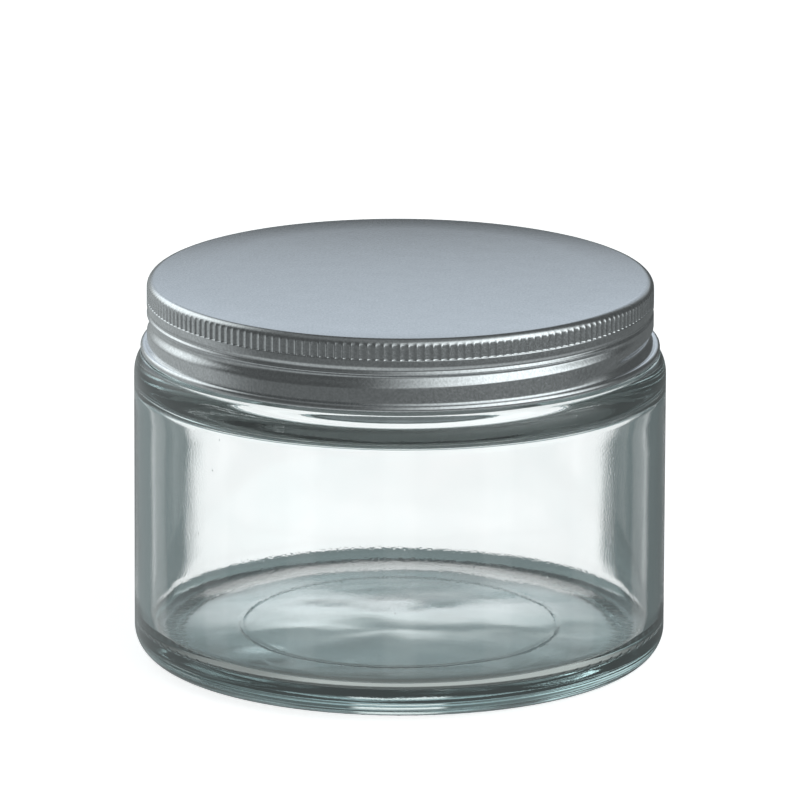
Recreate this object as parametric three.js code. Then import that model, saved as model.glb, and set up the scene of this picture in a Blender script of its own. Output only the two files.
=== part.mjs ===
// Empty candle jar: a low, wide soda-lime glass jar with a drawn aluminium screw lid and a foam liner.
// Millimetres, +Z up. The origin is the centre of the base, on the surface that the jar stands on.
// Angles are in degrees, counter-clockwise seen from above, from the front of the jar, which faces -Y.
import * as THREE from "three";
import { mergeVertices } from "three/addons/utils/BufferGeometryUtils.js";

// Glass jar
const BODY_R = 50; // outside of the wall
const WALL = 3;
const HEEL_R = 5.3; // rounding from the wall to the ring that the jar stands on
const STANDING_RING_R = 42.2; // inner edge of that flat ring
const PUSH_UP = { edgeR: 41, edgeZ: 0.5, centreZ: 2.4 }; // the raised underside
const FLOOR = { edgeR: 43.5, edgeZ: 5.1, centreZ: 7.4, cornerR: 3.5 };
const FLOOR_CROWN = 3; // power of the radius by which the floor drops from its centre
const SHOULDER = { startZ: 54.2, width: 2.2, rise: 3.95 }; // quarter ellipse below the lid
const NECK_R = 45.4;
const NECK_FILLET = 0.5;
const BORE_R = 42.4;
// Where the bore widens to the inside of the wall: a tight bend, a slope and an easy bend
const FLARE = { topZ: 54.5, bottomZ: 50.4, topR: 0.6, bottomR: 2.4 };
const RIM_Z = 70.4;
const LIP_R = 0.8; // rounding of both edges of the rim

// Screw thread, right-handed, with one lead on the neck and in the lid
const LEAD = 4.23;
const GROOVE_FRONT_Z = 65; // middle of the lid's groove at the front, with the lid closed
const GROOVE = { depth: 0.85, half: 2, start: -330, end: 75, fade: 35 };
const RIDGE = { aboveGroove: 1.7, start: -300, end: 60, fade: 30 }; // one full turn
const RIDGE_SECTION = [
  [0, -1.25], // distance out from the neck, and height from the middle of the ridge
  [1.1, -0.65],
  [1.45, -0.35],
  [1.45, 0.35],
  [1.1, 0.65],
  [0, 1.25],
];

// Lid shell
const LID_TOP_Z = 72.3;
const LID_R = 47.6;
const SHEET = 0.25; // thickness of the aluminium
const PANEL_CORNER_R = 1.6;
const BEAD = { z: 67.3, r: 1, turnIn: 45 }; // rounding under the grip band
const WAIST = { r: 47.25, z: 66.2 }; // shallow neck between the grip band and the skirt
const SKIRT = { topZ: 65.8, bottomZ: 60.1 };
const CURL_R = 0.73; // rolled hem
const CURL_Z = 59.35;

// Foam liner, sprung into the lid shell above its waist. Its top edge follows the panel's corner.
const LINER = { r: 47.1, bottomZ: 70.7, edgeZ: 70.95, topZ: 71.8, topR: 46.1 };

const TURN_STEPS = 64;

const COLOURS = { glass: 0xd9e3e1, aluminium: 0xb4bcc1, foam: 0xf1f0ea };

const radians = THREE.MathUtils.degToRad;

/** Points for shares from 0 to 1, where at(share) gives [r, z]. */
function curve(steps, at) {
  return Array.from({ length: steps + 1 }, (_, i) => at(i / steps));
}

/** Points on an arc about (r, z), from one angle to another in degrees. */
function arc(r, z, radius, from, to, steps) {
  return curve(steps, (t) => {
    const a = radians(from + (to - from) * t);
    return [r + radius * Math.cos(a), z + radius * Math.sin(a)];
  });
}

/** A point in space at a radius and height, at an angle from the front. */
function around(angle, [r, z]) {
  return [r * Math.sin(radians(angle)), -r * Math.cos(radians(angle)), z];
}

/** A rise from 0 to 1 at each end of a helix's span of angles. */
function runOut(angle, { start, end, fade }) {
  return THREE.MathUtils.smoothstep(Math.min(angle - start, end - angle), 0, fade);
}

/** A closed solid that takes sectionAt(angle), from the axis round to the axis, a full turn. */
function turned(sectionAt) {
  const sections = Array.from({ length: TURN_STEPS }, (_, i) => {
    const angle = (i * 360) / TURN_STEPS - 180;
    return sectionAt(angle).map((point) => around(angle, point));
  });
  const n = sections[0].length;
  const index = [];
  for (let i = 0; i < TURN_STEPS; i++)
    for (let j = 0; j < n - 1; j++) {
      const here = i * n + j;
      const next = ((i + 1) % TURN_STEPS) * n + j;
      // The first and last points lie on the axis, so there one triangle of the two has no area.
      if (j > 0) index.push(here, next, here + 1);
      if (j < n - 2) index.push(next, next + 1, here + 1);
    }
  const geometry = new THREE.BufferGeometry()
    .setAttribute("position", new THREE.Float32BufferAttribute(sections.flat(2), 3))
    .setIndex(index);
  return mergeVertices(geometry, 1e-4);
}

/** Height of the middle of the lid's groove at an angle that may pass a full turn. */
function grooveZ(angle) {
  return GROOVE_FRONT_Z + (LEAD * angle) / 360;
}

/** The neck's outline past its thread, which is a turn of helix that fades into the glass at both ends. */
function neckOutline(angle) {
  const turn = angle > RIDGE.end ? angle - 360 : angle;
  const z = grooveZ(turn) + RIDGE.aboveGroove;
  const height = runOut(turn, RIDGE);
  return RIDGE_SECTION.map(([out, up]) => [NECK_R + out * height, z + up]);
}

/** How far the flare's two bends turn, in degrees, to leave a straight slope between them. */
function flareBend(widening, drop) {
  const bends = FLARE.topR + FLARE.bottomR;
  const slope = Math.sqrt((widening - bends) ** 2 + drop ** 2 - bends ** 2);
  return THREE.MathUtils.radToDeg(Math.atan2(widening - bends, drop) + Math.atan2(bends, slope));
}

/** One radial section of the jar: underside, heel, wall, shoulder, neck and rim, then down the inside. */
function jarSection(angle) {
  const insideR = BODY_R - WALL;
  const bend = flareBend(insideR - BORE_R, FLARE.topZ - FLARE.bottomZ);
  const ledgeZ = SHOULDER.startZ + SHOULDER.rise;
  return [
    ...curve(3, (t) => [
      PUSH_UP.edgeR * t,
      PUSH_UP.centreZ - (PUSH_UP.centreZ - PUSH_UP.edgeZ) * t * t,
    ]),
    [STANDING_RING_R, 0],
    ...arc(BODY_R - HEEL_R, HEEL_R, HEEL_R, -90, 0, 6),
    ...arc(0, 0, 1, 0, 90, 5).map(([out, up]) => [
      BODY_R - SHOULDER.width * (1 - out),
      SHOULDER.startZ + SHOULDER.rise * up,
    ]),
    ...arc(NECK_R + NECK_FILLET, ledgeZ + NECK_FILLET, NECK_FILLET, 270, 180, 2),
    ...neckOutline(angle),
    ...arc(NECK_R - LIP_R, RIM_Z - LIP_R, LIP_R, 0, 90, 2),
    ...arc(BORE_R + LIP_R, RIM_Z - LIP_R, LIP_R, 90, 180, 2),
    ...arc(BORE_R + FLARE.topR, FLARE.topZ, FLARE.topR, 180, 180 + bend, 2),
    ...arc(insideR - FLARE.bottomR, FLARE.bottomZ, FLARE.bottomR, bend, 0, 3),
    ...arc(insideR - FLOOR.cornerR, FLOOR.edgeZ + FLOOR.cornerR, FLOOR.cornerR, 0, -90, 4),
    ...curve(3, (t) => [
      FLOOR.edgeR * (1 - t),
      FLOOR.centreZ - (FLOOR.centreZ - FLOOR.edgeZ) * (1 - t) ** FLOOR_CROWN,
    ]).slice(1),
  ];
}

/** How far the lid's rolled thread is pressed in at an angle and height. */
function grooveDepth(angle, z) {
  const turns = [angle, angle - 360];
  const depths = turns.map((a) => {
    const off = Math.min(1, Math.abs(z - grooveZ(a)) / GROOVE.half);
    return GROOVE.depth * runOut(a, GROOVE) * (0.5 + 0.5 * Math.cos(Math.PI * off));
  });
  return Math.max(...depths);
}

/** One radial section of the lid shell: up the inside, over the panel and down to the curl. */
function lidSection(angle) {
  const cornerZ = LID_TOP_Z - PANEL_CORNER_R;
  const cornerR = LID_R - PANEL_CORNER_R;
  const curlR = LID_R - SHEET + CURL_R;
  const skirt = curve(8, (t) => {
    const z = SKIRT.topZ + (SKIRT.bottomZ - SKIRT.topZ) * t;
    return [LID_R - grooveDepth(angle, z), z];
  });
  const inwards = ([r, z]) => [r - SHEET, z];
  const outside = [
    ...arc(cornerR, cornerZ, PANEL_CORNER_R, 90, 0, 3),
    ...arc(LID_R - BEAD.r, BEAD.z, BEAD.r, 0, -BEAD.turnIn, 2),
    [WAIST.r, WAIST.z],
    ...skirt,
    ...arc(curlR, CURL_Z, CURL_R, 90, -180, 6),
  ];
  return [
    [0, LID_TOP_Z - SHEET],
    ...arc(cornerR, cornerZ, PANEL_CORNER_R - SHEET, 90, 0, 2),
    inwards([LID_R, BEAD.z]),
    inwards([WAIST.r, WAIST.z]),
    ...skirt.slice(0, -1).map(inwards),
    ...outside.reverse(),
    [0, LID_TOP_Z],
  ];
}

function linerSection() {
  const { r, bottomZ, edgeZ, topZ, topR } = LINER;
  return [
    [0, bottomZ],
    [r, bottomZ],
    [r, edgeZ],
    [topR, topZ],
    [0, topZ],
  ];
}

/** A named mesh with its own material. */
function piece(name, geometry, finish) {
  const mesh = new THREE.Mesh(geometry, new THREE.MeshStandardMaterial(finish));
  mesh.name = name;
  return mesh;
}

const jar = new THREE.Group();
jar.add(
  piece("glass_jar", turned(jarSection), {
    color: COLOURS.glass,
    roughness: 0.05,
    metalness: 0,
    transparent: true,
    opacity: 0.35,
  }),
  piece("lid_shell", turned(lidSection), { color: COLOURS.aluminium, roughness: 0.35, metalness: 1 }),
  piece("lid_liner", turned(linerSection), { color: COLOURS.foam, roughness: 0.8, metalness: 0 }),
);

export default jar;
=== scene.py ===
"""Looks for an empty candle jar: a moulded glass jar, its drawn aluminium screw lid and its foam liner.

Sizes are in millimetres and angles in degrees, unless a name says otherwise. An angle round the jar is
counter-clockwise seen from above, from the front, which faces -Y. Meshes are made in metres.
"""

import logging
import math
from dataclasses import dataclass
from enum import Enum
from typing import Any, Callable, Optional, Sequence, Union

import bpy
from mathutils import Matrix, Vector, noise


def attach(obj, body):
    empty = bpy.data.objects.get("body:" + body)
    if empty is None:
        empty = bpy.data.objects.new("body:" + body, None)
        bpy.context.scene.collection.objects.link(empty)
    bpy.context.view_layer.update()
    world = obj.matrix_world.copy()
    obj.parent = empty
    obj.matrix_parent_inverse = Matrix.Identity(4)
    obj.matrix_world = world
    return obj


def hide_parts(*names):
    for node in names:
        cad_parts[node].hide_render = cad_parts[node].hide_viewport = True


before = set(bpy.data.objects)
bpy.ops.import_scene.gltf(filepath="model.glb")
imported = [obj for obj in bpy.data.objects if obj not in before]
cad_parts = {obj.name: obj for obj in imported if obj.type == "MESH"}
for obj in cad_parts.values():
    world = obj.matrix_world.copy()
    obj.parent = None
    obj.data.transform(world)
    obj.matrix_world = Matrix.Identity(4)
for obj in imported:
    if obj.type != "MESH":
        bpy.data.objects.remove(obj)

log = logging.getLogger("candle_jar")

MM = 0.001
FULL_TURN = 2 * math.pi
SAME_POINT = 2e-6  # metres: points of a turned mesh closer than this are one

Point = tuple[float, float]  # radius and height
Share = Callable[[float, float, float], float]  # from angle, radius and height to 0 .. 1
Span = tuple[float, float]  # where a smooth rise starts, and where it is full
Colour = tuple[float, float, float, float]


class Body(Enum):
    """The moving bodies of the frame."""

    JAR = "jar"
    LINER = "liner"
    LID = "lid"


class Side(Enum):
    """Which skin of a sheet a pressing works on, and so which way its normals point.

    The inside comes first, so that the outside is still clear of it when its turn comes.
    """

    INSIDE = 1
    OUTSIDE = -1


# ---------------------------------------------------------------------------------------------- sections


def arc(centre: Point, radius: float, start: float, end: float, steps: int) -> list[Point]:
    """Points on a circular arc.

    Args:
        centre: Centre of the arc.
        radius: Its radius.
        start: First angle, where 0 points away from the axis and 90 points up.
        end: Last angle.
        steps: Number of equal steps.

    Returns:
        The points, with both ends.
    """
    angles = [math.radians(start + (end - start) * i / steps) for i in range(steps + 1)]
    return [(centre[0] + radius * math.cos(a), centre[1] + radius * math.sin(a)) for a in angles]


def line(start: Point, end: Point, steps: int) -> list[Point]:
    """Points on a straight line.

    Args:
        start: First point.
        end: Last point.
        steps: Number of equal steps.

    Returns:
        The points after the first, to the last.
    """
    shares = [(i + 1) / steps for i in range(steps)]
    return [(start[0] + (end[0] - start[0]) * s, start[1] + (end[1] - start[1]) * s) for s in shares]


def smooth(value: float, low: float, high: float) -> float:
    """A smooth rise from 0 at low to 1 at high.

    Args:
        value: Where to read the rise.
        low: Where it starts.
        high: Where it ends, which may be below low for a fall.

    Returns:
        A share from 0 to 1.
    """
    share = min(1.0, max(0.0, (value - low) / (high - low)))
    return share * share * (3 - 2 * share)


# ------------------------------------------------------------------------------------------------ making


def clear_selection() -> None:
    """Deselects every object, because an operator acts on all that is selected."""
    if bpy.context.object and bpy.context.object.mode != "OBJECT":
        bpy.ops.object.mode_set(mode="OBJECT")
    bpy.ops.object.select_all(action="DESELECT")


@dataclass(frozen=True)
class Lathe:
    """Turns a radial section about the jar's axis into a closed mesh, by copying one sector round."""

    sectors: int
    columns: Sequence[float]  # widths of a sector's columns, as shares of it
    crease: float = 40.0

    def turn(self, name: str, section: Sequence[Point]) -> bpy.types.Object:
        """Makes a turned piece.

        Args:
            name: Name of the piece.
            section: Points from the axis round to the axis.

        Returns:
            The piece, smooth but for edges sharper than the crease angle.
        """
        clear_selection()
        bpy.ops.mesh.primitive_plane_add(size=MM, location=(0, 0, 0))
        piece = bpy.context.object
        piece.name = piece.data.name = name
        bpy.ops.object.mode_set(mode="EDIT")
        bpy.ops.mesh.select_all(action="SELECT")
        bpy.ops.mesh.merge(type="CENTER")
        here = (0.0, 0.0)
        for i, point in enumerate(section):
            step = (0.0, (here[0] - point[0]) * MM, (point[1] - here[1]) * MM)
            if i == 0:
                bpy.ops.transform.translate(value=step)
            else:
                bpy.ops.mesh.extrude_vertices_move(TRANSFORM_OT_translate={"value": step})
            here = point
        about_axis = {"center": (0, 0, 0), "axis": (0, 0, 1)}
        sector = FULL_TURN / self.sectors
        bpy.ops.mesh.select_all(action="SELECT")
        for width in self.columns:
            bpy.ops.mesh.spin(steps=1, angle=width * sector, **about_axis)
        bpy.ops.mesh.select_all(action="SELECT")
        bpy.ops.mesh.spin(steps=self.sectors - 1, dupli=True, angle=FULL_TURN - sector, **about_axis)
        bpy.ops.mesh.select_all(action="SELECT")
        bpy.ops.mesh.remove_doubles(threshold=SAME_POINT)
        bpy.ops.mesh.normals_make_consistent(inside=False)
        bpy.ops.object.mode_set(mode="OBJECT")
        bpy.ops.object.shade_smooth_by_angle(angle=math.radians(self.crease))
        return piece


def press(piece: bpy.types.Object, name: str, depth: float, share: Share) -> None:
    """Moves a piece's surface along its normals, by a depth times a share that each point gets.

    Args:
        piece: The piece to shape.
        name: Name of the vertex group and modifier while they last.
        depth: Full movement, outwards along the normals where it is positive.
        share: Share of the depth at an angle, radius and height.
    """
    group = piece.vertex_groups.new(name=name)
    for vertex in piece.data.vertices:
        x, y, z = vertex.co / MM
        weight = share(math.degrees(math.atan2(x, -y)), math.hypot(x, y), z)
        if weight > 0:
            group.add([vertex.index], min(1.0, weight), "REPLACE")
    modifier = piece.modifiers.new(name, "DISPLACE")
    modifier.direction = "NORMAL"
    modifier.mid_level = 0
    modifier.strength = depth * MM
    modifier.vertex_group = name
    clear_selection()
    bpy.context.view_layer.objects.active = piece
    piece.select_set(True)
    bpy.ops.object.modifier_apply(modifier=name)
    piece.vertex_groups.remove(piece.vertex_groups[name])


def dress(
    piece: bpy.types.Object,
    material: bpy.types.Material,
    body: Body,
    node: str,
) -> None:
    """Gives a piece its finish, and its place in the frame.

    Args:
        piece: The piece.
        material: Its finish.
        body: The body that the piece moves with.
        node: The CAD node that it stands for.
    """
    piece.data.materials.clear()
    piece.data.materials.append(material)
    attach(piece, body.value)
    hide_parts(node)
    log.info("%s: %d faces, rides on %s", piece.name, len(piece.data.polygons), body.value)


# ----------------------------------------------------------------------------------------------- shading

Input = Union["Signal", float, Sequence[float]]


@dataclass(frozen=True)
class Signal:
    """An output socket. Arithmetic on it adds Math nodes."""

    graph: "Graph"
    socket: bpy.types.NodeSocket

    def math(self, operation: str, *others: Input) -> "Signal":
        """The result of a Math node whose first value is this one."""
        values = dict(enumerate((self, *others)))
        return self.graph.node("ShaderNodeMath", {"operation": operation}, values)

    def __add__(self, other: Input) -> "Signal":
        """This plus another."""
        return self.math("ADD", other)

    def __sub__(self, other: Input) -> "Signal":
        """This minus another."""
        return self.math("SUBTRACT", other)

    def __rsub__(self, other: float) -> "Signal":
        """A number minus this."""
        return self.math("MULTIPLY", -1.0).math("ADD", other)

    def __mul__(self, other: Input) -> "Signal":
        """This times another."""
        return self.math("MULTIPLY", other)

    def __pow__(self, other: Input) -> "Signal":
        """This to the power of another."""
        return self.math("POWER", other)

    __radd__ = __add__
    __rmul__ = __mul__

    def rise(self, low: float, high: float) -> "Signal":
        """A smooth rise from 0 where this is low to 1 where it is high."""
        settings = {"interpolation_type": "SMOOTHSTEP"}
        return self.graph.node("ShaderNodeMapRange", settings, {0: self, 1: low, 2: high})

    def tinted(self, tint: Sequence[float]) -> "Signal":
        """This colour times a tint."""
        return self.graph.node("ShaderNodeVectorMath", {"operation": "MULTIPLY"}, {0: self, 1: tint})

    def scaled(self, scale: "Signal") -> "Signal":
        """This colour, brighter or darker by a scale."""
        return self.graph.node("ShaderNodeVectorMath", {"operation": "SCALE"}, {0: self, "Scale": scale})

    def axes(self) -> tuple["Signal", "Signal", "Signal"]:
        """The x, y and z of this vector."""
        outputs = self.graph.node("ShaderNodeSeparateXYZ", {}, {0: self}).socket.node.outputs
        x, y, z = (Signal(self.graph, output) for output in outputs)
        return x, y, z

    def mix(self, low: Input, high: Input) -> "Signal":
        """A colour that is low where this is 0 and high where it is 1."""
        settings = {"data_type": "RGBA"}
        return self.graph.node("ShaderNodeMix", settings, {0: self, 6: low, 7: high}, output=2)


class Graph:
    """A node tree that is written as expressions."""

    def __init__(self, tree: bpy.types.NodeTree) -> None:
        """Empties the tree."""
        self.tree = tree
        tree.nodes.clear()

    def node(
        self,
        kind: str,
        settings: Optional[dict[str, Any]] = None,
        inputs: Optional[dict[Union[int, str], Input]] = None,
        output: Union[int, str] = 0,
    ) -> Signal:
        """Adds a node.

        Args:
            kind: Blender's type name for the node.
            settings: Its properties, set before its sockets.
            inputs: Values or signals for its input sockets, by number or name.
            output: The output socket to return.

        Returns:
            That output.
        """
        made = self.tree.nodes.new(kind)
        for key, value in (settings or {}).items():
            setattr(made, key, value)
        for key, value in (inputs or {}).items():
            if isinstance(value, Signal):
                self.tree.links.new(value.socket, made.inputs[key])
            else:
                made.inputs[key].default_value = value
        return Signal(self, made.outputs[output]) if len(made.outputs) else Signal(self, None)

    def place(self, scale: Sequence[float] = (1, 1, 1)) -> Signal:
        """Where a point is on its piece, in millimetres times a scale on each axis."""
        coordinates = self.node("ShaderNodeTexCoord", output="Object")
        return self.node(
            "ShaderNodeVectorMath",
            {"operation": "MULTIPLY"},
            {0: coordinates, 1: [s / MM for s in scale]},
        )

    def grain(self, where: Signal, scale: float, detail: float = 2.0) -> Signal:
        """Noise about 0.5, with a scale in cells per millimetre."""
        return self.node("ShaderNodeTexNoise", {}, {"Vector": where, "Scale": scale, "Detail": detail})

    def bump(
        self,
        height: Signal,
        distance: float,
        strength: float = 1.0,
        under: Optional[Signal] = None,
    ) -> Signal:
        """A normal from a height from 0 to 1, where 1 is a distance in millimetres.

        Args:
            height: The height.
            distance: What a height of 1 stands for.
            strength: Share of the effect.
            under: A normal that this one is added to.

        Returns:
            The normal.
        """
        inputs = {"Height": height, "Distance": distance * MM, "Strength": strength}
        if under is not None:
            inputs["Normal"] = under
        return self.node("ShaderNodeBump", {}, inputs)


def new_material(name: str) -> tuple[bpy.types.Material, Graph]:
    """A named material and its empty graph."""
    material = bpy.data.materials.new(name)
    material.use_nodes = True
    return material, Graph(material.node_tree)


@dataclass(frozen=True)
class MouldedGlass:
    """Clear soda-lime glass with a faint grey-green cast, slight ripples and a few seeds."""

    tint: Colour = (0.985, 0.995, 0.995, 1)
    tint_low: Colour = (0.955, 0.975, 0.975, 1)
    absorbed: Colour = (0.62, 0.78, 0.77, 1)
    density: float = 8.0
    ior: float = 1.52
    # painted glow: a faint emission that stands in for light scattered by the skin
    glow_tint: Colour = (0.88, 1.0, 1.0, 1)
    painted_glow: float = 0.009
    ripple_depth: float = 0.03
    peel_depth: float = 0.003  # of the faint orange peel of the skin
    seed_depth: float = 0.02

    def material(self) -> bpy.types.Material:
        """Builds the material.

        Returns:
            A refracting glass that absorbs in its volume. The light that its skin scatters is painted in as
            a faint even glow, by an emission.
        """
        material, graph = new_material("moulded_glass")
        where = graph.place()
        tall = graph.place((1, 1, 0.25))
        cloud = graph.grain(where, 0.09, 3)
        ripple = graph.grain(tall, 0.12, 1)
        peel = graph.grain(where, 2.4, 1)
        cells = graph.node("ShaderNodeTexVoronoi", {}, {"Vector": where, "Scale": 0.16, "Randomness": 1.0})
        seeds = cells.rise(0.035, 0.01)
        normal = graph.bump(ripple, self.ripple_depth)
        normal = graph.bump(peel, self.peel_depth, under=normal)
        normal = graph.bump(seeds, self.seed_depth, under=normal)
        shader = graph.node(
            "ShaderNodeBsdfPrincipled",
            {},
            {
                "Base Color": cloud.rise(0.3, 0.7).mix(self.tint_low, self.tint),
                "Roughness": graph.grain(where, 0.35, 2) * 0.01,
                "IOR": self.ior,
                "Transmission Weight": 1.0,
                "Normal": normal,
                # painted glow, the same whatever light falls on the glass
                "Emission Color": self.glow_tint,
                "Emission Strength": self.painted_glow,
            },
        )
        absorption = {"Color": self.absorbed, "Density": self.density}
        volume = graph.node("ShaderNodeVolumeAbsorption", {}, absorption)
        graph.node("ShaderNodeOutputMaterial", {}, {"Surface": shader, "Volume": volume})
        return material


@dataclass(frozen=True)
class SatinAluminium:
    """Drawn aluminium with a fine satin grain under a clear lacquer, its flat panel darkened by a painted
    shade.
    """

    dark: Colour = (0.72, 0.73, 0.74, 1)
    light: Colour = (0.89, 0.9, 0.91, 1)
    # painted shade: the flat panel's metal is darkened to 70% of the skirt's, so that it mirrors the lights
    # more dimly
    panel_shade: tuple[float, float, float] = (0.7, 0.7, 0.7)
    panel_rise: Span = (72.0, 72.25)  # heights between which the panel's tone sets in
    panel_r: float = 47.0
    roughness: float = 0.16
    uneven: float = 0.06  # how far the fine grain raises the roughness
    lacquer: float = 0.25
    lacquer_roughness: float = 0.06
    crown: float = 1.7  # millimetres by which the panel looks domed
    fine_depth: float = 0.014
    coarse_depth: float = 0.004

    def material(self) -> bpy.types.Material:
        """Builds the material.

        Returns:
            A metal with an uneven tone and a fine grain, and a painted shade that darkens the flat panel.
        """
        material, graph = new_material("satin_aluminium")
        where = graph.place()
        fine = graph.grain(where, 2.2, 3)
        coarse = graph.grain(where, 0.25, 3)
        tone = fine * 0.8 + coarse * 0.2
        x, y, z = where.axes()
        crown = (x * x + y * y) * (-1 / self.panel_r**2)
        normal = graph.bump(crown, self.crown)
        normal = graph.bump(fine, self.fine_depth, under=normal)
        normal = graph.bump(coarse, self.coarse_depth, under=normal)
        colour = tone.rise(0.3, 0.7).mix(self.dark, self.light)
        # painted shade on the flat panel, from the height where it sets in
        shaded_panel = z.rise(*self.panel_rise)
        shader = graph.node(
            "ShaderNodeBsdfPrincipled",
            {},
            {
                "Base Color": shaded_panel.mix(colour, colour.tinted(self.panel_shade)),
                "Metallic": 1.0,
                "Roughness": fine * self.uneven + self.roughness,
                "Coat Weight": self.lacquer,
                "Coat Roughness": self.lacquer_roughness,
                "Normal": normal,
            },
        )
        graph.node("ShaderNodeOutputMaterial", {}, {"Surface": shader})
        return material


@dataclass(frozen=True)
class FoamedSheet:
    """White foamed polyethylene with a fine closed-cell skin."""

    dark: Colour = (0.78, 0.78, 0.75, 1)
    light: Colour = (0.88, 0.88, 0.86, 1)
    roughness: float = 0.55
    cell_depth: float = 0.05

    def material(self) -> bpy.types.Material:
        """Builds the material.

        Returns:
            A soft matt white with small cells.
        """
        material, graph = new_material("foamed_sheet")
        where = graph.place()
        cells = graph.node("ShaderNodeTexVoronoi", {}, {"Vector": where, "Scale": 1.8})
        mottle = graph.grain(where, 0.5, 3)
        shader = graph.node(
            "ShaderNodeBsdfPrincipled",
            {},
            {
                "Base Color": (mottle * 0.6 + cells * 0.4).rise(0.2, 0.7).mix(self.dark, self.light),
                "Roughness": mottle * 0.2 + self.roughness,
                "Normal": graph.bump(cells, self.cell_depth, 0.8),
            },
        )
        graph.node("ShaderNodeOutputMaterial", {}, {"Surface": shader})
        return material


# ----------------------------------------------------------------------------------------- the screw thread


@dataclass(frozen=True)
class Screw:
    """One right-handed helix, shared by the ridge on the neck and the groove in the lid."""

    lead: float = 4.23
    front_z: float = 65.0

    def height(self, angle: float) -> float:
        """Height of the helix at an angle that may pass a full turn."""
        return self.front_z + self.lead * angle / 360

    def share(self, angle: float, z: float, span: "Helix") -> float:
        """How far a helix of the lid or the neck has risen at a place.

        Args:
            angle: Angle round the jar.
            z: Height.
            span: The helix's reach and cross-section.

        Returns:
            A share of its full depth or height.
        """
        shares = []
        for turn in (angle - 360, angle, angle + 360):
            ends = smooth(min(turn - span.start, span.end - turn), 0, span.fade)
            off = abs(z - self.height(turn) - span.raised)
            shares.append(ends * span.profile(off))
        return max(shares)


@dataclass(frozen=True)
class Helix:
    """How far round a helix reaches, and its cross-section."""

    start: float
    end: float
    fade: float
    half: float
    flat: float
    raised: float = 0.0

    def profile(self, off: float) -> float:
        """Share of the depth at a distance from the helix's middle."""
        return smooth(off, self.half, self.flat)


SCREW = Screw()


# ---------------------------------------------------------------------------------------------- the glass


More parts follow.
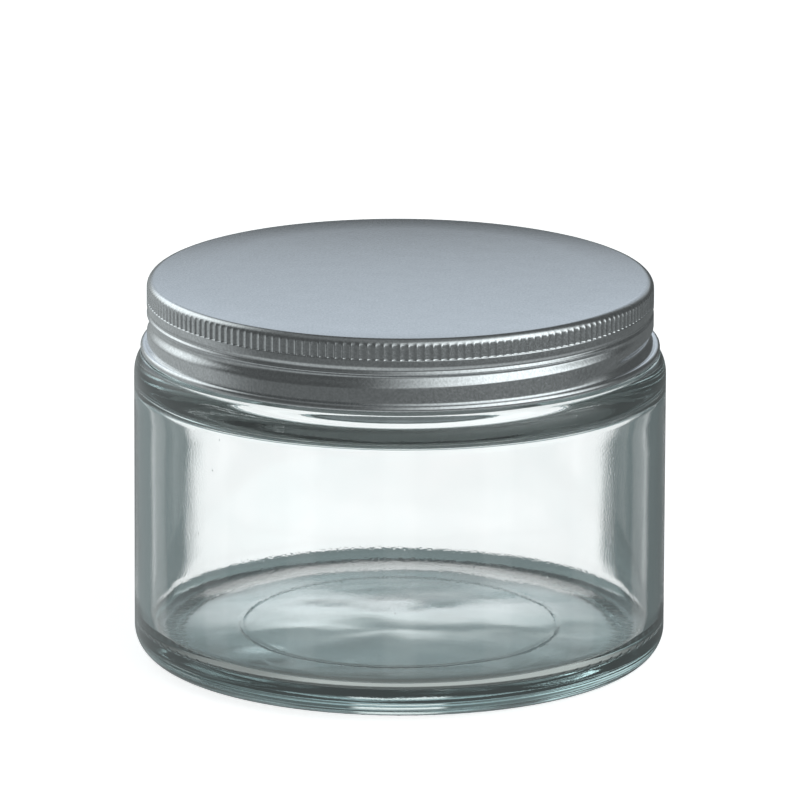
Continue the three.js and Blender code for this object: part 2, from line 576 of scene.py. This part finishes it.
@dataclass
class GlassJar:
    """The moulded jar: a dome on a ribbed ring, a heel, a plain wall, a shoulder and a threaded neck."""

    body_r: float = 50.0
    wall: float = 3.0
    heel_r: float = 5.3
    dome_edge: Point = (41.0, 0.5)
    dome_z: float = 2.4
    seam_r: float = 29.4
    seam_half: float = 0.6
    seam_rise: float = 0.09
    foot_r: float = 0.55  # rounding from the dome to the ring that the jar stands on
    rib_count: int = 88
    rib_depth: float = 0.28
    rib_inner: Span = (41.2, 42.4)
    rib_outer: Span = (46.8, 45.6)
    rib_top: Span = (1.2, 0.8)
    floor_edge: Point = (43.5, 5.1)
    floor_z: float = 7.4
    floor_corner_r: float = 3.5
    shoulder_z: float = 54.2
    shoulder_width: float = 2.2
    shoulder_rise: float = 3.95
    neck_r: float = 45.4
    neck_fillet: float = 0.5
    bore_r: float = 42.4
    flare_top_z: float = 54.5
    flare_bottom_z: float = 50.4
    flare_top_r: float = 0.6
    flare_bottom_r: float = 2.4
    rim_z: float = 70.4
    lip_r: float = 0.8
    thread_height: float = 1.45
    thread_foot_z: float = 58.9
    wave_depth: float = 0.12
    wave_foot: Span = (9.0, 14.0)
    wave_top: Span = (50.0, 45.0)
    waves_round: float = 2.6  # cells of the waves' noise along a radius
    wave_length: float = 60.0  # height of one of its cells
    streak_depth: float = 0.3
    streak_edge: Span = (41.0, 34.0)
    streak_z: Span = (4.9, 7.6)
    streak_cell: Point = (16.0, 9.0)  # width and depth of a cell of the streaks' noise
    streak_layer: float = 4.2  # which slice of the noise the streaks are
    columns_per_rib: int = 6
    piece: Optional[bpy.types.Object] = None

    @property
    def inside_r(self) -> float:
        """Radius of the inside of the wall."""
        return self.body_r - self.wall

    @property
    def thread(self) -> Helix:
        """Reach and section of the neck's thread."""
        return Helix(start=-300, end=60, fade=30, half=1.3, flat=0.3, raised=1.7)

    def underside_z(self, r: float) -> float:
        """Height of the domed underside, with the ring that the mould's base plate leaves on it."""
        edge_r, edge_z = self.dome_edge
        dome = self.dome_z - (self.dome_z - edge_z) * (r / edge_r) ** 2
        return dome - self.seam_rise * smooth(abs(r - self.seam_r), self.seam_half, 0.0)

    def underside(self) -> list[Point]:
        """The underside from the axis to the foot of the heel."""
        edge_r = self.dome_edge[0]
        seam = [self.seam_r + off for off in (-1, -0.6, -0.3, 0, 0.3, 0.6, 1)]
        radii = [0, 3, 8, 13, 18, 22, 26, *seam, 33, 36, 39, edge_r]
        foot_start = edge_r + 2 * self.foot_r
        ring_end = self.body_r - self.heel_r
        return [
            *[(r, self.underside_z(r)) for r in radii],
            *arc((foot_start, self.foot_r), self.foot_r, 225, 270, 3),
            *line((foot_start, 0), (ring_end, 0), 5),
        ]

    def outside(self) -> list[Point]:
        """The heel, the wall and the shoulder."""
        ledge_z = self.shoulder_z + self.shoulder_rise
        wall_start, wall_end = (self.body_r, self.heel_r), (self.body_r, self.shoulder_z)
        shoulder = [
            (self.body_r - self.shoulder_width * (1 - out), self.shoulder_z + self.shoulder_rise * up)
            for out, up in arc((0, 0), 1, 0, 90, 12)
        ]
        fillet = (self.neck_r + self.neck_fillet, ledge_z + self.neck_fillet)
        return [
            *arc((self.body_r - self.heel_r, self.heel_r), self.heel_r, -90, 0, 16)[1:],
            *line(wall_start, wall_end, 14)[:-1],
            *shoulder,
            *arc(fillet, self.neck_fillet, 270, 180, 4),
        ]

    def neck(self) -> list[Point]:
        """The neck up to the rim, and over the rim to the bore."""
        start = (self.neck_r, self.shoulder_z + self.shoulder_rise + self.neck_fillet)
        end = (self.neck_r, self.rim_z - self.lip_r)
        return [
            *line(start, end, 34)[:-1],
            *arc((self.neck_r - self.lip_r, end[1]), self.lip_r, 0, 90, 5),
            *arc((self.bore_r + self.lip_r, end[1]), self.lip_r, 90, 180, 5),
        ]

    def flare_bend(self) -> float:
        """How far the flare's two bends turn, to leave a straight slope between them."""
        drop = self.flare_top_z - self.flare_bottom_z
        bends = self.flare_top_r + self.flare_bottom_r
        across = self.inside_r - self.bore_r - bends
        slope = math.sqrt(across**2 + drop**2 - bends**2)
        return math.degrees(math.atan2(across, drop) + math.atan2(bends, slope))

    def inside(self) -> list[Point]:
        """The bore, the flare under it, the inside of the wall and the floor, to the axis."""
        bend = self.flare_bend()
        corner_z = self.floor_edge[1] + self.floor_corner_r
        floor_r, floor_edge_z = self.floor_edge
        floor = [
            (floor_r * (1 - i / 14), self.floor_z - (self.floor_z - floor_edge_z) * (1 - i / 14) ** 3)
            for i in range(1, 15)
        ]
        tight = (self.bore_r + self.flare_top_r, self.flare_top_z)
        easy = (self.inside_r - self.flare_bottom_r, self.flare_bottom_z)
        return [
            *line((self.bore_r, self.rim_z - self.lip_r), (self.bore_r, self.flare_top_z), 6)[:-1],
            *arc(tight, self.flare_top_r, 180, 180 + bend, 6),
            *arc(easy, self.flare_bottom_r, bend, 0, 9),
            *line((self.inside_r, self.flare_bottom_z), (self.inside_r, corner_z), 16)[:-1],
            *arc((self.inside_r - self.floor_corner_r, corner_z), self.floor_corner_r, 0, -90, 9),
            *floor,
        ]

    def rib_share(self, angle: float, r: float, z: float) -> float:
        """How far the glass is cut back between the ribs of the ring that the jar stands on."""
        band = smooth(r, *self.rib_inner) * smooth(r, *self.rib_outer) * smooth(z, *self.rib_top)
        return band * (0.5 - 0.5 * math.cos(math.radians(angle) * self.rib_count)) if band else 0.0

    def thread_share(self, angle: float, r: float, z: float) -> float:
        """How far the neck's thread stands out."""
        on_neck = r > self.neck_r - 0.1 and z > self.thread_foot_z
        return SCREW.share(angle, z, self.thread) if on_neck else 0.0

    def wave_share(self, angle: float, r: float, z: float) -> float:
        """Unevenness of the inside, where the glass was blown: long upright waves on the wall."""
        ends = smooth(z, *self.wave_foot) * smooth(z, *self.wave_top)
        if ends <= 0 or abs(r - self.inside_r) >= 0.2:
            return 0.0
        a = math.radians(angle)
        spot = (math.sin(a) * self.waves_round, -math.cos(a) * self.waves_round, z / self.wave_length)
        return ends * (0.5 + 0.5 * noise.noise(Vector(spot)))

    def floor_share(self, angle: float, r: float, z: float) -> float:
        """Unevenness of the floor, in soft streaks."""
        lowest, highest = self.streak_z
        if z < lowest or z > highest or r > self.streak_edge[0]:
            return 0.0
        a = math.radians(angle)
        width, depth = self.streak_cell
        spot = (r * math.sin(a) / width, -r * math.cos(a) / depth, self.streak_layer)
        return smooth(r, *self.streak_edge) * (0.5 + 0.5 * noise.noise(Vector(spot)))

    def build(self, finish: MouldedGlass) -> None:
        """Makes the jar.

        Args:
            finish: Its glass.
        """
        section = [*self.underside(), *self.outside(), *self.neck(), *self.inside()]
        even = [1 / self.columns_per_rib] * self.columns_per_rib
        self.piece = Lathe(self.rib_count, even).turn("moulded_jar", section)
        press(self.piece, "ribs", -self.rib_depth, self.rib_share)
        press(self.piece, "thread", self.thread_height, self.thread_share)
        press(self.piece, "waves", self.wave_depth, self.wave_share)
        press(self.piece, "floor", self.streak_depth, self.floor_share)
        dress(self.piece, finish.material(), Body.JAR, "glass_jar")


# ------------------------------------------------------------------------------------------------ the lid


@dataclass
class ScrewLid:
    """The drawn lid: a flat panel, a fluted grip band, a bead, and a skirt with a rolled thread and hem."""

    top_z: float = 72.3
    radius: float = 47.6
    sheet: float = 0.25
    corner_r: float = 1.6
    flute_count: int = 196
    flute_depth: float = 0.22
    flute_bottom_z: float = 68.36
    flute_foot: float = 0.1
    flute_flank: Span = (0.5, 0.27)  # as shares of a flute's width, from the middle of its ridge
    grip_rows: tuple[float, ...] = (68.6, 68.46, 68.41, 68.36, 68.26)
    bead_z: float = 67.3
    bead_r: float = 1.0
    waist: Point = (47.25, 66.2)
    skirt_top_z: float = 65.8
    skirt_bottom_z: float = 60.1
    rolled_end_z: float = 63.3  # the skirt's rows are finer above this
    groove_depth: float = 0.85
    groove_fade: float = 0.9  # below the top of the skirt
    curl_r: float = 0.73
    curl_z: float = 59.35
    flute_columns: tuple[float, ...] = (0.1, 0.12, 0.56, 0.12, 0.1)
    piece: Optional[bpy.types.Object] = None

    @property
    def corner(self) -> Point:
        """Centre of the rounding between the panel and the grip band."""
        return self.radius - self.corner_r, self.top_z - self.corner_r

    @property
    def groove(self) -> Helix:
        """Reach and section of the rolled thread."""
        return Helix(start=-320, end=75, fade=35, half=1.85, flat=0.0)

    def outside(self) -> list[Point]:
        """The outer skin from the axis to where the skirt meets its hem."""
        r = self.radius
        panel = [(x, self.top_z) for x in (0, 15, 38)]
        corner = arc(self.corner, self.corner_r, 90, 0, 9)
        band_top = self.corner[1]
        grip = [(r, z) for z in (band_top - 0.4, *self.grip_rows)]
        bead = arc((r - self.bead_r, self.bead_z), self.bead_r, 0, -45, 4)
        waist_r, waist_z = self.waist
        crease_end = (r - 0.04, self.skirt_top_z + 0.08)
        crease = [(waist_r, waist_z), (waist_r + 0.05, waist_z - 0.12), crease_end]
        rolled_end = (r, self.rolled_end_z)
        skirt = [
            (r, self.skirt_top_z),
            *line((r, self.skirt_top_z), rolled_end, 25),
            *line(rolled_end, (r, self.skirt_bottom_z), 13),
        ]
        return [*panel, *corner, *grip, *bead, *crease, *skirt]

    def hem(self) -> list[Point]:
        """The rolled hem, from the crevice above it round to the inside of the skirt."""
        return arc((self.radius - self.sheet + self.curl_r, self.curl_z), self.curl_r, 125, -180, 12)

    def inside(self) -> list[Point]:
        """The inner skin from the hem up to the axis."""
        r = self.radius - self.sheet
        waist_r = self.waist[0] - self.sheet
        skirt = line((r, self.curl_z), (r, self.skirt_top_z), 9)
        under_panel = self.top_z - self.sheet
        return [
            *skirt,
            (waist_r, self.waist[1]),
            (r, self.bead_z),
            *arc(self.corner, self.corner_r - self.sheet, 0, 90, 3),
            (0, under_panel),
        ]

    def flute_share(self, angle: float, r: float, z: float) -> float:
        """How far the grip band is pressed in between its ridges.

        Args:
            angle: Angle round the lid.
            r: Radius.
            z: Height.

        Returns:
            A share of the flutes' depth.
        """
        if z < self.flute_bottom_z or r < self.corner[0] + 0.5:
            return 0.0
        off = abs((angle * self.flute_count / 360) % 1 - 0.5)
        pressed = smooth(off, *self.flute_flank)
        already_in = (self.radius - r) / self.flute_depth
        foot = smooth(z, self.flute_bottom_z, self.flute_bottom_z + self.flute_foot)
        return max(0.0, pressed - already_in) * foot

    def groove_share(self, side: Side) -> Share:
        """The pressing of the rolled thread on one skin.

        Args:
            side: Which skin.

        Returns:
            The share of the depth on that skin, and 0 on the other.
        """
        middle = self.radius - self.sheet / 2

        def share(angle: float, r: float, z: float) -> float:
            """Share of the groove's depth at a place."""
            outer = r > middle
            on_skirt = self.skirt_bottom_z <= z <= self.skirt_top_z + 0.01 and abs(r - middle) < self.sheet
            if not on_skirt or outer != (side is Side.OUTSIDE):
                return 0.0
            ends = smooth(z, self.skirt_top_z, self.skirt_top_z - self.groove_fade)
            return ends * SCREW.share(angle, z, self.groove)

        return share

    def build(self, finish: SatinAluminium) -> None:
        """Makes the lid.

        Args:
            finish: Its metal.
        """
        section = [*self.outside(), *self.hem(), *self.inside()]
        self.piece = Lathe(self.flute_count, self.flute_columns).turn("screw_lid", section)
        press(self.piece, "flutes", -self.flute_depth, self.flute_share)
        for side in Side:
            press(self.piece, "groove", side.value * self.groove_depth, self.groove_share(side))
        dress(self.piece, finish.material(), Body.LID, "lid_shell")


@dataclass
class LidLiner:
    """The foam disc under the lid's panel, dented a little where it has been pressed on the rim."""

    radius: float = 47.1
    bottom_z: float = 70.7
    edge_z: float = 70.95
    top_z: float = 71.8
    top_r: float = 46.1
    edge_round: float = 0.1
    print_r: float = 43.9  # where the rim has pressed it
    print_half: float = 1.5
    print_depth: float = 0.08
    sectors: int = 64
    columns: tuple[float, ...] = (0.25, 0.25, 0.25, 0.25)
    piece: Optional[bpy.types.Object] = None

    def section(self) -> list[Point]:
        """The disc's section, from the middle of its underside round its edge to the middle of its top."""
        r, low = self.radius, self.bottom_z
        underside = [(x, low) for x in (0, 10, 25, 38)]
        dent = []
        for off in (-1, -0.6, -0.2, 0.2, 0.6, 1):
            up = self.print_depth * (0.5 + 0.5 * math.cos(math.pi * off))
            dent.append((self.print_r + self.print_half * off, low + up))
        edge = arc((r - self.edge_round, low + self.edge_round), self.edge_round, -90, 0, 4)
        top = [(x, self.top_z) for x in (self.top_r, 25, 0)]
        return [*underside, *dent, *edge, (r, self.edge_z), *top]

    def build(self, finish: FoamedSheet) -> None:
        """Makes the liner.

        Args:
            finish: Its foam.
        """
        self.piece = Lathe(self.sectors, self.columns).turn("foam_liner", self.section())
        dress(self.piece, finish.material(), Body.LINER, "lid_liner")


# ----------------------------------------------------------------------------------------------- the studio


@dataclass(frozen=True)
class SoftBox:
    """A soft light in the surroundings, by where it stands as seen from the jar.

    Azimuths are from the front, and positive to the right.
    """

    left: Span
    right: Span
    low: Span
    high: Span
    level: float

    def light(self, azimuth: Signal, elevation: Signal) -> Signal:
        """The brightness that the box adds in a direction.

        Args:
            azimuth: Azimuth of the direction.
            elevation: Its elevation.

        Returns:
            The brightness.
        """
        across = azimuth.rise(*self.left) * azimuth.rise(*self.right)
        return across * elevation.rise(*self.low) * elevation.rise(*self.high) * self.level


@dataclass(frozen=True)
class Studio:
    """The floor, the surroundings and the camera."""

    right: SoftBox = SoftBox(left=(-25, 58), right=(112, 72), low=(-14, 4), high=(76, 40), level=1.25)
    left: SoftBox = SoftBox(left=(-162, -145), right=(-88, -128), low=(-6, 22), high=(62, 38), level=1.15)
    left_fill: SoftBox = SoftBox(
        left=(-182, -160), right=(-62, -105), low=(-40, -22), high=(20, -4), level=0.26
    )
    behind_left: Span = (138, 172)
    behind_low: Span = (3, 13)
    behind_high: Span = (46, 22)
    behind: float = 0.56
    behind_foot: float = 0.96  # share of the backdrop's level at its foot
    behind_more: float = 0.55  # share that it gains higher up
    behind_gain: Span = (13, 25)
    room_tint: Colour = (0.93, 1, 1.01, 1)
    behind_tint: Colour = (0.88, 0.99, 1.1, 1)
    dark: float = 0.085
    overhead: float = 0.09
    overhead_rise: Span = (35, 80)
    below: float = 0.055
    below_rise: Span = (0, -14)
    table: float = 0.28
    table_rise: Span = (-24, -55)
    glass_tint: tuple[float, float, float] = (0.85, 1.0, 1.01)  # on what shows through the glass
    tint_loss: float = 0.8  # share of the backdrop's blue that is lost inside the glass
    level_loss: float = 0.32
    fill_loss: float = 0.8
    gap: float = 6.8
    gap_soft: float = 1.2
    gap_every: float = 45.0
    gap_low: Span = (-32, -29)
    gap_high: Span = (4, -1)
    gap_level: float = 1.07
    gap_beside: float = 0.5  # level of the gaps that aren't right behind the jar
    gap_behind: Span = (150, 165)
    # the sheet under the jar glows with painted light and shade, seen only through the glass
    sheet_r: float = 52.0
    cast: float = 46.0  # millimetres by which the clouds move the lit table's edges
    streaks: float = 12.0
    # painted light: the table is lit only where it is seen at a low angle
    grazing_light: Span = (0.48, 0.71)  # the table is bright at low angles only
    # painted light levels of the table: a dim base, more light towards the back, a bright patch and bright
    # streaks; the dim front is a painted shadow of the lid
    table_dim: float = 0.085
    far_light: float = 0.27
    patch_light: float = 0.7
    streak_light: float = 0.2
    # painted bright line on the table near its front rim, under the heel
    front_rim_light: float = 0.4
    # painted contact shadow on the table under the heel, at the back
    back_rim_shadow: float = 0.85
    # painted shade on the table at the left, towards the front
    left_shade: float = 0.45
    near_tint: Colour = (0.93, 1.0, 0.97, 1)
    far_tint: Colour = (0.99, 1.0, 1.02, 1)
    floor_level: float = 0.78
    floor_size: float = 3.0
    distance: float = 2.0
    elevation: float = 15.0778
    aim_z: float = 0.036
    tilt_up: float = 0.3461
    roll: float = 0.2133
    lens: float = 477.6

    def light(self) -> None:
        """Makes the surroundings: dark, with soft lights, a backdrop and white gaps behind the glass."""
        world = bpy.data.worlds.new("studio")
        world.use_nodes = True
        bpy.context.scene.world = world
        graph = Graph(world.node_tree)
        direction = graph.node("ShaderNodeTexCoord", output="Generated")
        x, y, z = direction.axes()
        azimuth = x.math("ARCTAN2", y * -1.0) * math.degrees(1)
        elevation = z.math("ARCSINE") * math.degrees(1)
        room = elevation.rise(*self.overhead_rise) * self.overhead
        room = room + elevation.rise(*self.below_rise) * self.below + self.dark
        room = room + elevation.rise(*self.table_rise) * self.table
        path = graph.node("ShaderNodeLightPath").socket.node.outputs
        through = Signal(graph, path["Is Transmission Ray"])
        for box in (self.right, self.left):
            room = room + box.light(azimuth, elevation)
        room = room + self.left_fill.light(azimuth, elevation) * (1 - through * self.fill_loss)
        aside = azimuth.math("ABSOLUTE")
        high = elevation.rise(*self.behind_low) * elevation.rise(*self.behind_high)
        backdrop = aside.rise(*self.behind_left) * high
        backdrop = backdrop * (elevation.rise(*self.behind_gain) * self.behind_more + self.behind_foot)
        indoors = Signal(graph, path["Transmission Depth"]).rise(0, 1)
        bluish = (backdrop * (1 - indoors * self.tint_loss)).mix(self.room_tint, self.behind_tint)
        seen = bluish.scaled(room + backdrop * (1 - indoors * self.level_loss) * self.behind)
        seen = through.mix(seen, seen.tinted(self.glass_tint))
        off_gap = azimuth.math("PINGPONG", self.gap_every / 2)
        gap = through * off_gap.rise(self.gap + self.gap_soft, self.gap - self.gap_soft)
        gap = gap * elevation.rise(*self.gap_low) * elevation.rise(*self.gap_high)
        gap = gap * (aside.rise(*self.gap_behind) * (1 - self.gap_beside) + self.gap_beside)
        seen = gap.mix(seen, (self.gap_level, self.gap_level, self.gap_level, 1))
        seen = Signal(graph, path["Is Camera Ray"]).mix(seen, (1, 1, 1, 1))
        background = graph.node("ShaderNodeBackground", {}, {"Color": seen, "Strength": 1.0})
        graph.node("ShaderNodeOutputWorld", {}, {"Surface": background})

    def floor(self) -> None:
        """Makes the pale floor, which the glass and the metal don't mirror."""
        clear_selection()
        bpy.ops.mesh.primitive_plane_add(size=self.floor_size * 2, location=(0, 0, 0))
        floor = bpy.context.object
        floor.name = "studio_floor"
        floor.location.z = -0.0002
        material, graph = new_material("pale_floor")
        where = graph.place()
        mottle = graph.grain(where, 0.02, 2).rise(0.2, 0.8)
        tone = mottle.mix((0.93, 0.93, 0.93, 1), (0.95, 0.95, 0.95, 1))
        shader = graph.node(
            "ShaderNodeBsdfPrincipled",
            {},
            {
                "Base Color": tone,
                "Roughness": 0.9,
                "Emission Color": (1, 1, 1, 1),
                "Emission Strength": self.floor_level,
            },
        )
        graph.node("ShaderNodeOutputMaterial", {}, {"Surface": shader})
        floor.data.materials.append(material)
        floor.visible_transmission = False
        floor.visible_glossy = False

    def sheet(self) -> None:
        """Makes the lit table under the jar, which only shows through the glass.

        Its light and shade are painted into its emission: a painted shadow where the lid shades it, at the
        front, painted clouds and streaks of light, as seen through the base, a painted bright line at the
        front rim, a painted contact shadow under the heel at the back and painted shade on the left.
        """
        clear_selection()
        bpy.ops.mesh.primitive_circle_add(vertices=64, radius=self.sheet_r * MM, fill_type="NGON")
        sheet = bpy.context.object
        sheet.name = "studio_sheet"
        sheet.location.z = -0.0001
        material, graph = new_material("lit_table")
        x, y, _ = graph.place().axes()
        # painted light: clouds and streaks of light, as the base throws them on the table
        cloud = graph.grain(graph.place((0.4, 1, 1)), 0.055, 3) - 0.5
        streak = graph.grain(graph.place((0.3, 1, 1)), 0.16, 2) - 0.5
        depth = y + cloud * self.cast + streak * self.streaks
        from_axis = (x * x + y * y) ** 0.5
        facing = graph.node("ShaderNodeLayerWeight", {}, {"Blend": 0.5}, output="Facing")
        # painted light: a bright patch in the middle and more light towards the back; the front stays dim,
        # as a painted shadow of the lid
        patch = depth.rise(-3, 9) * depth.rise(34, 18) * (x + cloud * 40).math("ABSOLUTE").rise(40, 18)
        far = depth.rise(-14, 20)
        bright = far * self.far_light + patch * self.patch_light + streak * self.streak_light
        # painted light that grows as the table is seen at a lower angle
        lit = facing.rise(*self.grazing_light) * bright + self.table_dim
        # painted bright line near the front rim
        lit = lit + from_axis.rise(44, 45.5) * y.rise(-10, -34) * self.front_rim_light
        # painted contact shadow under the heel, at the back
        lit = lit * (1 - from_axis.rise(39, 42) * y.rise(-5, 20) * self.back_rim_shadow)
        # painted shade at the left, towards the front
        lit = lit * (1 - x.rise(-14, -30) * y.rise(16, 2) * self.left_shade)
        colour = far.mix(self.near_tint, self.far_tint)
        shader = graph.node(
            "ShaderNodeBsdfPrincipled",
            {},
            {
                "Base Color": colour.tinted((0.06, 0.06, 0.06)),
                "Roughness": 0.8,
                "Emission Color": colour.scaled(lit),
                "Emission Strength": 1.0,
            },
        )
        graph.node("ShaderNodeOutputMaterial", {}, {"Surface": shader})
        sheet.data.materials.append(material)
        sheet.visible_camera = False
        sheet.visible_glossy = False
        sheet.visible_diffuse = False
        sheet.visible_shadow = False

    def camera(self) -> None:
        """Places the camera in front of the jar, a little above it, with a long lens."""
        bpy.ops.object.camera_add()
        camera = bpy.context.object
        camera.data.lens = self.lens
        camera.data.sensor_width = 36
        camera.data.clip_end = 50
        lift = math.radians(self.elevation)
        place = Vector((0, -math.cos(lift), math.sin(lift))) * self.distance + Vector((0, 0, self.aim_z))
        pitch = math.radians(90 - self.elevation + self.tilt_up)
        turn = Matrix.Rotation(pitch, 4, "X") @ Matrix.Rotation(math.radians(self.roll), 4, "Z")
        camera.matrix_world = Matrix.Translation(place) @ turn
        bpy.context.scene.camera = camera

    def build(self) -> None:
        """Makes the studio round the jar."""
        self.light()
        self.floor()
        self.sheet()
        self.camera()
        bpy.context.scene.view_settings.view_transform = "Standard"


def main() -> None:
    """Builds the pieces and the studio round them."""
    logging.basicConfig(level=logging.INFO, format="%(name)s %(message)s")
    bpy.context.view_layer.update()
    GlassJar().build(MouldedGlass())
    ScrewLid().build(SatinAluminium())
    LidLiner().build(FoamedSheet())
    Studio().build()


if __name__ == "__main__":
    main()
